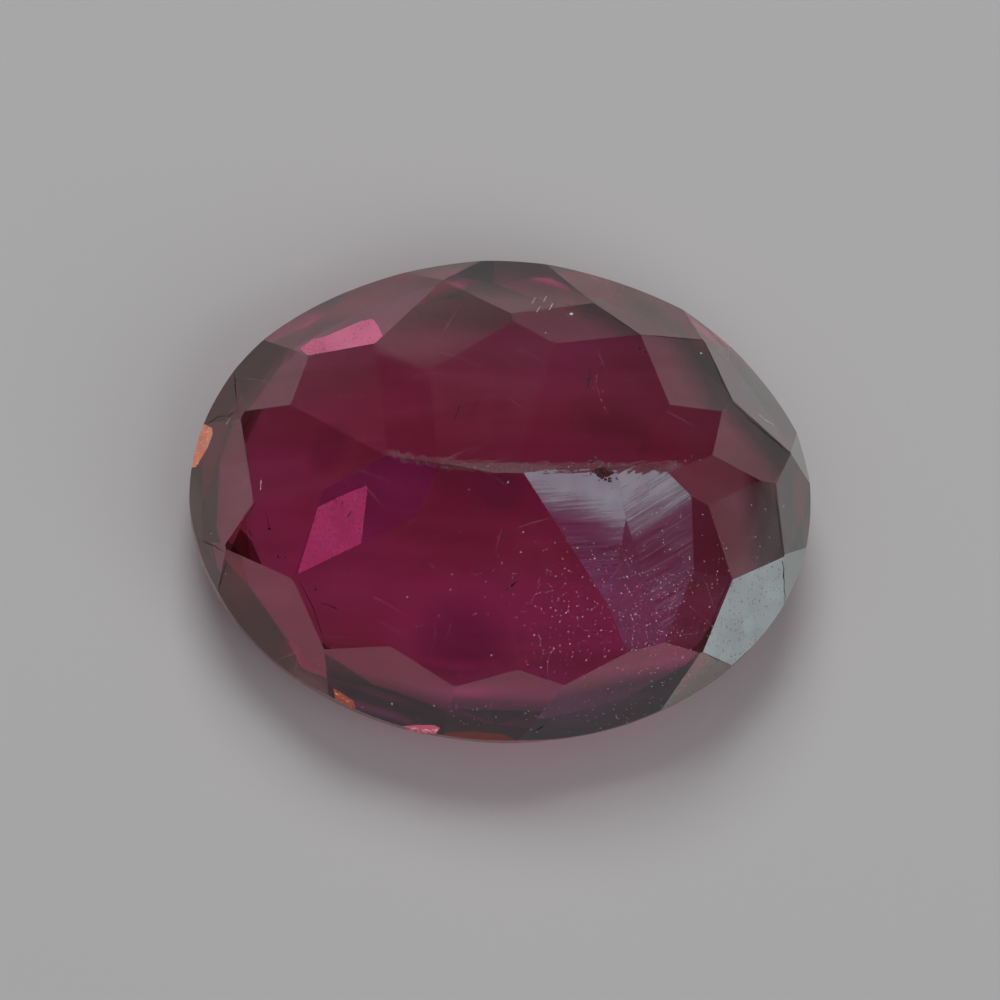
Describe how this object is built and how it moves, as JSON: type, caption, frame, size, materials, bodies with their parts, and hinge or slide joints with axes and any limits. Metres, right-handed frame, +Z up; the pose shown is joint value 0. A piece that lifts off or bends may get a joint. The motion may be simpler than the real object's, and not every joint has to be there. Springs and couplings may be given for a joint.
{
  "type": "faceted oval gemstone",
  "caption": "Loose faceted oval rubellite tourmaline: deep crimson, see-through, resting on its flat table with a worn keel on top.",
  "frame": {"origin": "middle of the flat table, on the surface that the stone rests on", "axes": "+X along the oval's long way, +Y across the oval, away from the camera, +Z up, from the table to the keel"},
  "size_m": [0.0104, 0.008, 0.0051],
  "materials": {
    "rubellite_crystal": "polished"
  },
  "bodies": {
    "root": {"rubellite": "rubellite_crystal"}
  },
  "joints": []
}
